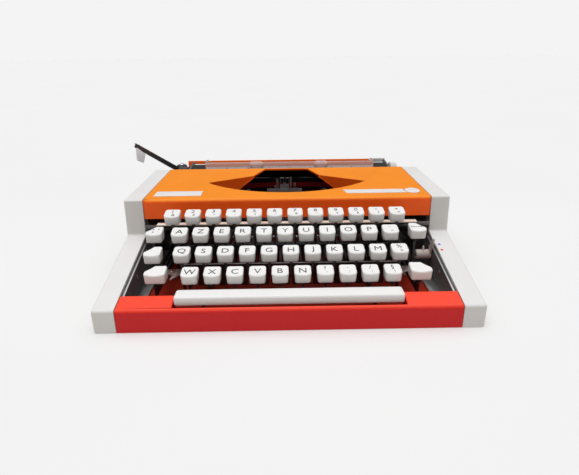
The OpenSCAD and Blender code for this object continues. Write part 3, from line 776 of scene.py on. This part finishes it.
def comb(name, xs, y, top_highlight_mat):
    """A steel plate on two legs; a tooth hangs between every two key levers."""
    x0, x1 = xs[0] - 3.5, xs[-1] + 3.5
    half, low, high, top, t = 1.15, 12.0, 30.45, 33.45, 2.0
    bm = bmesh.new()
    block(bm, (x0, y, high), (x1, y + t, top))
    for x in (x0, x1 - 2.35):
        block(bm, (x, y, FLOOR_TOP), (x + 2.35, y + t, low))
    edges = [x0] + [e for x in xs for e in (x - half, x + half)] + [x1]
    for a, b in zip(edges[::2], edges[1::2]):
        arm_near = any(a - 1.7 < x < b + 1.7 for x in BAR_ARMS)
        if b - a > 0.2:
            block(bm, (a, y, 20.5 if arm_near else low), (b, y + t, high))
    piece(name, bm, DARK_STEEL, "machine")
    # a lighter strip along the comb's top edge: painted highlight
    bm = bmesh.new()
    block(bm, (x0, y - 0.4, top - 0.9), (x1, y + t, top))
    piece(name + "_edge", bm, top_highlight_mat, "machine", 0.3)


def comb_wings():
    """Level steel brackets in front of the ends of the front comb."""
    wings = {
        "left": [(-101, 36.5), (-93.8, 46.5), (-95, 58), (-107.3, 58), (-107.3, 50), (-101, 46)],
        "right": [(99.4, 36.5), (97.6, 46.5), (99, 58), (110.5, 58), (110.5, 50), (99.8, 46)],
    }
    for side, outline in wings.items():
        bm = bmesh.new()
        prism(bm, outline, 2, 27.2, 28.8)
        piece("comb_wing_" + side, bm, FLANGE, "machine", 0.4)
        bm = bmesh.new()
        screw(bm, (outline[3][0] * 0.96, 54, 28.8), (0, 0, 1), 1.8, 0.5)
        piece("comb_wing_screw_" + side, bm, SILVER, "machine")


def rest_bar(xs):
    """The cream strip below the number row, with a dark notched front flange."""
    x0, x1, y0, z = -124.5, 123.3, 100.5, 54.0
    bm = bmesh.new()
    block(bm, (x0, y0, z), (x1, y0 + 6, z + 1.6))
    piece("rest_bar_top", bm, CREAM, "machine", 0.5)
    bm = bmesh.new()
    edges = [x0] + [e for x in xs for e in (x - 1.6, x + 1.6)] + [x1]
    for a, b in zip(edges[::2], edges[1::2]):
        block(bm, (a, y0, z - 4), (b, y0 + 1.4, z))
    block(bm, (x0, y0, z - 1.2), (x1, y0 + 1.4, z))
    piece("rest_bar_flange", bm, BLACK, "machine", 0.2)


def spool(x, side):
    y, z = 146.0, 55.5
    bm = bmesh.new()
    profile = [(0, 27.6), (0.4, 28), (8.7, 28), (9, 27.7), (9, 27.2), (1.5, 27), (1.5, 2)]
    lathe(bm, [(z + up, r) for up, r in profile], (x, y), 2, 64)
    piece("spool_cup_" + side, bm, STEEL, "machine")
    bm = bmesh.new()
    z += 1.55
    profile = [(0, 25.6), (0.3, 26), (0.8, 26), (1, 25.7), (1, 9), (9, 9), (9, 25.7),
               (9.2, 26), (9.8, 26), (10, 25.7), (10, 4), (8, 3.6), (8, 1)]
    lathe(bm, [(z + up, r) for up, r in profile], (x, y), 2, 64)
    piece("spool_flanges_" + side, bm, DARK_PAINT, "machine")
    bm = bmesh.new()
    profile = [(1.05, 9), (1.05, 22.6), (1.3, 23), (8.7, 23), (8.95, 22.6), (8.95, 9)]
    lathe(bm, [(z + up, r) for up, r in profile], (x, y), 2, 64)
    piece("ribbon_roll_" + side, bm, RIBBON_BLACK, "machine")


frame_pieces()

# ---------------------------------------------------------------- type basket, ribbon and printing point

type_basket = NODES["type_basket"].data
type_basket.materials.clear()
type_basket.materials.append(BASKET_STEEL)

RIBBON_T = 0.25


def ribbon_strip(name, points, heights, mat):
    """An upright band that follows points (x, y), with a low and a high z at each of them."""
    rows = []
    for i, (x, y) in enumerate(points):
        before, after = points[max(0, i - 1)], points[min(len(points) - 1, i + 1)]
        d = Vector((after[0] - before[0], after[1] - before[1])).normalized()
        n = Vector((-d.y, d.x)) * RIBBON_T / 2
        low, high = heights[i]
        rows.append([(x - n.x, y - n.y, low), (x + n.x, y + n.y, low),
                     (x + n.x, y + n.y, high), (x - n.x, y - n.y, high)])
    bm = bmesh.new()
    loft(bm, rows)
    piece(name, bm, mat, "machine")


def ribbon():
    """A two-colour inked band from one spool over two posts to the other."""
    half_path = [(15, 242.8), (40, 241.4), (56, 238.6), (61, 236.5), (64, 233), (73, 214), (84, 186),
                 (90, 165.6)]
    path = [(-x, y) for x, y in reversed(half_path)] + [(0, 243)] + half_path
    black, red = [], []
    for x, _ in path:
        out = max(0.0, (abs(x) - 56) / 34)
        middle, half = 58.5 + 3.4 * out, 5.9 - 1.9 * out
        black.append((middle + 0.02, middle + half))
        red.append((middle - half, middle))
    ribbon_strip("ribbon_upper", path, black, RIBBON_BLACK)
    ribbon_strip("ribbon_lower", path, red, RIBBON_RED)
    bm = bmesh.new()
    for s in (-1, 1):
        lathe(bm, [(47, 2.2), (66.4, 2.2), (66.6, 3.2), (67.2, 3.2), (67.4, 2.8)], (s * 61, 233.2), 2, 24)
    piece("ribbon_posts", bm, SILVER, "machine")


def printing_point():
    """Type guide, ribbon carrier prongs, card holders and the bar in front of them."""
    bm = bmesh.new()
    outline = [(-7.7, 50), (3.1, 50), (3.1, 57.6), (2.9, 65.4), (-0.4, 65.4), (-0.9, 60.2),
               (-1.7, 58.4), (-2.7, 58.4), (-3.4, 60.2), (-3.0, 65.6), (-7.2, 65.6), (-7.7, 57.6)]
    prism(bm, outline, 1, 237.2, 238.4)
    piece("type_guide", bm, GUIDE_SHEEN_WHITE, "machine", 0.15)
    bm = bmesh.new()
    prism(bm, [(-7.2, 58), (-3.2, 58), (-3.5, 60.4), (-3.2, 64.6), (-7.1, 64.6)], 1, 236.9, 237.25)
    prism(bm, [(2.9, 58), (-1.2, 58), (-0.8, 60.4), (-0.5, 64.4), (2.8, 64.4)], 1, 236.9, 237.25)
    piece("type_guide_faces", bm, BLACK, "machine", 0.05)
    bm = bmesh.new()
    prongs = ((-12.1, -9.8, 50, 63.4), (4.3, 6.4, 50, 65.4), (-14.6, -12.4, 49, 55.6), (8.8, 11.2, 49, 58))
    for x0, x1, z0, z1 in prongs:
        block(bm, (x0, 239.2, z0), (x1, 240.0, z1))
    piece("ribbon_carrier", bm, PRONG, "machine", 0.25)
    for name, x0, x1, z0, z1 in (("left", -36.9, -18.6, 60.5, 71.3), ("right", 14.3, 31.4, 60.5, 70.5)):
        mid, half = (x0 + x1) / 2, (x1 - x0) / 2
        arc = [(mid + half * math.cos(t), z0 + (z1 - z0) * math.sin(t) ** 0.8)
               for t in (math.pi * k / 24 for k in range(25))]
        bm = bmesh.new()
        prism(bm, arc, 1, 244.6, 245.3)
        piece("card_holder_" + name, bm, CARD_CLEAR, "machine", 0.2)
    bm = bmesh.new()
    prism(bm, [(-23.4, 49.6), (18.6, 49.6), (18.6, 54), (-23.4, 54)], 1, 229, 231)
    piece("vibrator_bar", bm, GUIDE_SHEEN_WHITE, "machine", 0.3)


ribbon()
printing_point()

# ---------------------------------------------------------------- carriage

PIVOT_X, PIVOT_Y, LEVER_Z = -134.0, 283.0, 65.5
BAIL_MID = CARRIAGE_X + 0.3
BAIL_L = 206.0
STRIP_Y, STRIP_Z = PLATEN_Y - 11.5, PLATEN_Z + 12.4


def carriage():
    bm = bmesh.new()
    plate = [(249, 51.5), (270, 41), (283.6, 41), (283.6, 45.4), (291.4, 45.4), (291.4, 41), (294, 41),
             (294, 55.5), (288, 75.5), (277, 75.5), (254, 73.5)]
    for x0 in (END_L, END_R):
        prism(bm, plate, 0, x0, x0 + END_T)
    ends = piece("carriage_ends", bm, PLATE, "carriage", 0.35)
    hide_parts("carriage")
    y0, y1, top = RAIL_Y - 0.4, RAIL_Y + 7.4, RAIL_Z + 7.4
    bm = bmesh.new()
    block(bm, (END_L + 0.1, y0 - 2, RAIL_Z + 1), (END_R + END_T - 0.1, y0, top + 2))
    block(bm, (END_L + 0.1, y1, RAIL_Z + 1), (END_R + END_T - 0.1, y1 + 2, top + 2))
    block(bm, (END_L + 0.1, y0, top), (END_R + END_T - 0.1, y1, top + 2))
    block(bm, (PIVOT_X - 8, PIVOT_Y - 6, LEVER_Z - 4), (END_L + 0.1, PIVOT_Y + 8, LEVER_Z))
    piece("carriage_channel", bm, PLATE, "carriage", 0.3)
    bm = bmesh.new()
    teeth = 96
    for k in range(teeth):
        x = -100 + k * 200 / (teeth - 1)
        tooth = [(x - 0.9, top + 2), (x + 0.9, top + 2), (x + 0.3, top + 4), (x - 0.2, top + 4)]
        prism(bm, tooth, 1, y1 - 1, y1 + 0.6)
    piece("escapement_rack", bm, SILVER, "carriage")
    bm = bmesh.new()
    prism(bm, [(267, 43), (280.5, 57.5), (282, 56.5), (268, 41.5)], 0, END_L + 1, END_R + 1.5)
    piece("paper_pan", bm, PLATE, "carriage", 0.2)
    bm = bmesh.new()
    lathe(bm, [(LEVER_Z, 3), (LEVER_Z + 8.2, 3), (LEVER_Z + 8.9, 2.3)], (PIVOT_X, PIVOT_Y), 2, 32)
    rod(bm, END_R + END_T - 0.2, END_R + END_T + 4, 288, 58.5, 2)
    piece("carriage_pins", bm, SILVER, "carriage")
    paper_table()


def paper_table():
    """The orange moulded sheet behind the platen, with rolled top edge and rounded corners."""
    rear = RAIL_Y + 10
    x0, x1 = -127.9, 112.9
    top = PLATEN_Z + PLATEN_R - 2
    rolled_edge = [(3.9, -1.4), (3.5, -0.3), (2.9, -0.05), (2.3, -0.3), (1.9, -1.4)]
    section = [(rear + 0.05, RAIL_Z + 9.1), (rear + 1.9, RAIL_Z + 9.1)]
    section += [(rear + y, top + z) for y, z in rolled_edge]
    bm = bmesh.new()
    prism(bm, section, 0, x0, x1)
    piece("paper_table", bm, ORANGE, "carriage", 0.25)


def platen():
    x0, x1 = CARRIAGE_X - 120, CARRIAGE_X + 120
    bm = bmesh.new()
    edge = PLATEN_R - 0.5
    profile = [(x0, 12), (x0, edge), (x0 + 0.5, PLATEN_R), (x1 - 0.5, PLATEN_R), (x1, edge), (x1, 12)]
    lathe(bm, profile, (PLATEN_Y, PLATEN_Z), 0, 96)
    roller = piece("platen_roller", bm, RUBBER, "platen")
    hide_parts("platen")
    bm = bmesh.new()
    rod(bm, -128, 136, PLATEN_Y, PLATEN_Z, 4)
    for x in (x0 - 0.6, x1 - 0.4):
        rod(bm, x, x + 1, PLATEN_Y, PLATEN_Z, 12.5)
    piece("platen_shaft", bm, SILVER, "platen")
    knob("knob_left", -134, -121, 13.5, DARK_KNOB, 40, -1)
    knob("knob_right", 129, 137, 16.5, WHITE, 60, 1)


def knob(name, x0, x1, r, mat, ribs, outer):
    """A platen knob with grip ribs round its rim and a dished outer face."""
    bm = bmesh.new()
    steps = ribs * 6
    a, b = (x0, x1) if outer > 0 else (x1, x0)
    span = b - a
    rim = [(0.0, 1.6), (0.06, 0.6), (0.14, 0.1), (0.84, 0.1), (0.95, 0.6), (1.0, 1.6), (1.0, 3.4), (0.9, 4.4)]
    profile = [(0.0, 5.0)] + [(share, r - less) for share, less in rim]
    profile += [(0.86, 5.6), (1.0, 4.8), (1.0, 1.5), (0.95, 1.2)]
    rings = []
    for share, radius in profile:
        ring = []
        for k in range(steps):
            t = 2 * math.pi * k / steps
            groove = 0.55 * (0.5 - 0.5 * math.cos(ribs * t)) ** 2 if radius > r - 0.9 else 0.0
            q = radius - groove
            ring.append((a + span * share, PLATEN_Y + q * math.cos(t), PLATEN_Z + q * math.sin(t)))
        rings.append(ring)
    loft(bm, rings)
    piece(name, bm, mat, "platen")


def paper_bail():
    """A steel strip with a printed scale, two rollers, and the arms that swing it up."""
    bm = bmesh.new()
    x0, x1 = BAIL_MID - BAIL_L / 2, BAIL_MID + BAIL_L / 2
    section = [(-0.45, 0.1), (0.55, 0.1), (1.8, 7.9), (0.8, 7.9), (0.1, 3.6)]
    prism(bm, [(STRIP_Y + y, STRIP_Z + z) for y, z in section], 0, x0, x1)
    bail = piece("bail_strip", bm, BAIL, "paper_bail", 0.12)
    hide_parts("paper_bail")
    bm = bmesh.new()
    section = [(-0.6, 0.25), (-0.45, 0.15), (0.02, 3.1), (-0.12, 3.2)]
    prism(bm, [(STRIP_Y + y, STRIP_Z + z) for y, z in section], 0, x0 + 0.8, x1 - 0.8)
    piece("bail_scale", bm, BADGE, "paper_bail")
    bm = bmesh.new()
    for s in (-1, 1):
        x = BAIL_MID + s * (BAIL_L / 2 - 1)
        arm = [(STRIP_Y + 0.7, STRIP_Z + 6), (STRIP_Y + 1.7, STRIP_Z + 9.3), (269, 81.8), (285.4, 74.8),
               (285.4, 69.6), (280, 71.1), (274, 75.1), (265, 78.6), (STRIP_Y + 3, STRIP_Z + 6)]
        prism(bm, arm, 0, x - 0.95, x + 0.95)
    rod(bm, END_L - 1, END_R + END_T + 1, 283, 72.0, 1.5)
    piece("bail_arms", bm, STEEL, "paper_bail", 0.2)
    for i, x in enumerate((BAIL_MID - 40.5, BAIL_MID + 38)):
        y, z = STRIP_Y - 0.6, STRIP_Z + 4.6
        bm = bmesh.new()
        profile = [(-6.4, 2), (-6.4, 4.4), (-5.9, 4.9), (5.9, 4.9), (6.4, 4.4), (6.4, 2)]
        lathe(bm, [(x + along, r) for along, r in profile], (y, z))
        piece(f"bail_roller_{i}", bm, ROLLER_CLEAR, "paper_bail")
        bm = bmesh.new()
        for a, b in ((x - 7.4, x - 6.45), (x + 6.45, x + 7.4)):
            lathe(bm, [(a, 2.6), (a + 0.2, 3.1), (b - 0.2, 3.1), (b, 2.6)], (y, z), 0, 32)
        piece(f"bail_roller_ends_{i}", bm, WHITE, "paper_bail")
    scale_marks(x0, x1)


def scale_marks(x0, x1):
    """Ticks every tenth of an inch and a number every inch, counted from the middle both ways."""
    bm = bmesh.new()
    tilt = 0.47 / 2.95
    tenth = 2.54
    for k in range(-39, 40):
        x = BAIL_MID + k * tenth
        if not x0 + 2 < x < x1 - 2:
            continue
        tall = 1.35 if k % 5 == 0 else 0.8
        block(bm, (x - 0.11, 0, 3.1 - tall), (x + 0.11, 0.05, 3.05))
    for k in range(-3, 4):
        mesh = glyph_mesh(str(abs(k) * 10), 1.7, (0, 0), 1.0, 0.0, 0.025)
        for v in mesh.vertices:
            x, z, y = v.co.x, v.co.y, v.co.z
            v.co = (BAIL_MID + k * 25.4 + x, -y, 0.95 + z)
        bm.from_mesh(mesh)
        bpy.data.meshes.remove(mesh)
    for v in bm.verts:
        v.co.y += STRIP_Y - 0.68 + (v.co.z - 0.1) * tilt
        v.co.z += STRIP_Z + 0.1
    piece("bail_scale_marks", bm, LEGEND, "paper_bail", smooth=False)


def flat_bar(bm, points, halves, half_thick):
    """A bar of upright rectangular section through points, with half its height at each."""
    rings = []
    for i, p in enumerate(points):
        p = Vector(p)
        d = (Vector(points[min(i + 1, len(points) - 1)]) - Vector(points[max(i - 1, 0)])).normalized()
        side = d.cross(Vector((0, 0, 1))).normalized() * half_thick
        up = side.cross(d).normalized() * halves[i]
        rings.append([p + side + up, p - side + up, p - side - up, p + side - up])
    loft(bm, rings)


def return_lever():
    x, y, z = PIVOT_X, PIVOT_Y, LEVER_Z
    bm = bmesh.new()
    profile = [(0.35, 5.8), (0.35, 6.2), (0.7, 6.45), (6.6, 6.45), (7.2, 5.9), (7.2, 3.1)]
    lathe(bm, [(z + up, r) for up, r in profile], (x, y), 2, 48)
    hub = piece("return_lever_hub", bm, DARK_PAINT, "return_lever")
    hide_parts("return_lever")
    bm = bmesh.new()
    points = [(x - 3, y - 1.5, z + 3.9), (x - 7, y - 4, z + 4.3), (x - 9, y - 6.6, z + 6.1),
              (x - 24, y - 25.6, z + 22.3), (x - 40.6, y - 46.4, z + 40.2), (x - 42, y - 48, z + 41.5)]
    flat_bar(bm, points, [2.6, 2.8, 2.85, 2.7, 2.6, 2.2], 1.5)
    piece("return_lever_arm", bm, DARK_PAINT, "return_lever", 0.5)
    # a pale strip along the arm's top edge: painted highlight
    bm = bmesh.new()
    flat_bar(bm, [(p[0], p[1], p[2] + 2.5) for p in points[2:]], [0.3, 0.3, 0.3, 0.25], 1.6)
    piece("return_lever_top_highlight", bm, FLANGE, "return_lever", 0.1)
    bm = bmesh.new()
    corners = [(0, -17.8), (8, -20.8), (11, -10), (0.4, -0.9)]
    outline = rounded_ring(corners, 1.4, 0.1, 0, 5)
    turn = math.radians(60)
    mid = Vector((4.6, -12))
    tip = Vector(points[-1])
    rings = []
    for share, shrink in ((-0.8, 0.35), (-0.5, 0.0), (0.5, 0.0), (0.8, 0.35)):
        ring = []
        for px, pz, _ in outline:
            q = Vector((px, pz))
            q = q - (q - mid).normalized() * shrink
            ring.append(tip + Vector((q.x - share * math.cos(turn), share * math.sin(turn) - 0.9, q.y)))
        rings.append(ring)
    loft(bm, rings)
    piece("return_lever_tab", bm, TAB_GREY, "return_lever")


def release_and_selector():
    x0 = END_R + END_T + 0.3
    bm = bmesh.new()
    tab_y, top = 294.65, PLATEN_Z + PLATEN_R - 1
    prism(bm, [(284.2, 58.5), (285.2, 55.6), (288, 54.6), (290.8, 55.6), (291.8, 58.5), (tab_y + 3, top - 8),
               (tab_y + 3, top - 2), (tab_y, top - 2)], 0, x0 + 0.1, x0 + 2)
    arm = piece("release_arm", bm, WHITE, "paper_release_lever", 0.3)
    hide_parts("paper_release_lever")
    bm = bmesh.new()
    block(bm, (x0 - 13.9, tab_y, top - 7.9), (x0 + 2, tab_y + 3, top - 0.1))
    piece("release_tab", bm, WHITE, "paper_release_lever", 0.9)
    bm = bmesh.new()
    y, z = SELECTOR_Y, SELECTOR_Z
    x1 = PLATE_X - 0.6
    tip_y, tip_z = COVER_Y - 29, slope_z(COVER_Y - 29) + 8
    profile = [(-14, 2.1), (-14, 4.2), (-13.7, 4.45), (-0.3, 4.45), (0, 4.2), (0, 2.1)]
    lathe(bm, [(x1 + along, r) for along, r in profile], (y, z))
    hub = piece("selector_hub", bm, SELECTOR, "ribbon_selector")
    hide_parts("ribbon_selector")
    bm = bmesh.new()
    pointer = [(y - 3.4, z), (y + 3.9, z), (tip_y + 1.9, tip_z - 0.1), (tip_y - 1.4, tip_z - 0.1)]
    prism(bm, pointer, 0, x1 - 1.95, x1 - 0.05)
    prism(bm, [(y - 3.9, z + 1), (y + 3.9, z + 1), (y, z + 8.9)], 0, x1 - 7.65, x1 - 6.35)
    piece("selector_pointer", bm, SELECTOR, "ribbon_selector", 0.3)
    tilt = Matrix.Rotation(math.atan(DECK_RISE / COVER_Y), 4, "X")
    for name, mat, dot_y in (("blue", DOT_BLUE, 85), ("red", DOT_RED, 76)):
        bm = bmesh.new()
        lathe(bm, [(-0.3, 1.3), (0.08, 1.3), (0.16, 1.1)], (0, 0), 2, 32)
        place = Matrix.Translation((141.4, dot_y, slope_z(dot_y)))
        bmesh.ops.transform(bm, matrix=place @ tilt, verts=bm.verts)
        piece("selector_dot_" + name, bm, mat, "machine")


carriage()
platen()
paper_bail()
return_lever()
release_and_selector()

# ---------------------------------------------------------------- camera, light and floor

def camera():
    yaw, pitch, roll = 0.0112, 0.3682, -0.0108
    sy, cy, sp, cp, sr, cr = (f(a) for a in (yaw, pitch, roll) for f in (math.sin, math.cos))
    forward = Vector((sy * cp, cy * cp, -sp))
    level = Vector((cy, -sy, 0))
    above = level.cross(forward)
    right = cr * level + sr * above
    up = -sr * level + cr * above
    data = bpy.data.cameras.new("camera")
    data.sensor_width = 36
    data.lens = 29.97
    data.clip_start = 0.01
    cam = bpy.data.objects.new("camera", data)
    turn = Matrix((right, up, -forward)).transposed().to_4x4()
    cam.matrix_world = Matrix.Translation(Vector((-3.3434, -331.7914, 207.5799)) * MM) @ turn
    scene.collection.objects.link(cam)
    scene.camera = cam


def world():
    """Even pale backdrop; the light itself is a dome that is bright overhead and dim at the horizon."""
    w = bpy.data.worlds.new("studio")
    scene.world = w
    w.use_nodes = True
    nt = w.node_tree
    out = nt.nodes["World Output"]
    backdrop = nt.nodes["Background"]
    backdrop.inputs["Color"].default_value = (0.904, 0.904, 0.904, 1)
    dome = nt.nodes.new("ShaderNodeBackground")
    height = coordinate(nt, "Generated", "Z")
    level = ramp(nt, height, [(0.0, 0.06), (0.35, 0.15), (0.6, 0.47), (0.8, 1.12), (1.0, 1.97)])
    nt.links.new(level, dome.inputs["Color"])
    path = nt.nodes.new("ShaderNodeLightPath")
    mixer = nt.nodes.new("ShaderNodeMixShader")
    nt.links.new(path.outputs["Is Camera Ray"], mixer.inputs[0])
    nt.links.new(dome.outputs[0], mixer.inputs[1])
    nt.links.new(backdrop.outputs[0], mixer.inputs[2])
    nt.links.new(mixer.outputs[0], out.inputs["Surface"])


def soft_sun(name, direction, strength, angle):
    light = bpy.data.lights.new(name, "SUN")
    light.energy = strength
    light.angle = math.radians(angle)
    obj = bpy.data.objects.new(name, light)
    obj.rotation_euler = Vector(direction).to_track_quat("-Z", "Y").to_euler()
    scene.collection.objects.link(obj)


def floor():
    m, nt, bsdf = new_material("studio_floor")
    tone = ramp(nt, noise(nt, 3, 2), [(0.3, 0.60), (0.7, 0.61)])
    nt.links.new(tone, bsdf.inputs["Base Color"])
    bsdf.inputs["Roughness"].default_value = 0.9
    bsdf.inputs["Specular IOR Level"].default_value = 0.0
    bsdf.inputs["Emission Color"].default_value = (1, 1, 1, 1)
    bsdf.inputs["Emission Strength"].default_value = 0.25
    bm = bmesh.new()
    r, steps = 20000, 64
    outline = [(r * math.cos(a), r * math.sin(a)) for a in (2 * math.pi * k / steps for k in range(steps))]
    prism(bm, outline, 2, -10, 0)
    mesh = mesh_from("floor", bm)
    mesh.materials.append(m)
    obj = bpy.data.objects.new("floor", mesh)
    scene.collection.objects.link(obj)


camera()
world()
soft_sun("key_light", (0.12, 0.35, -1), 0.62, 60)
floor()
scene.view_settings.view_transform = "Standard"

bpy.context.view_layer.update()
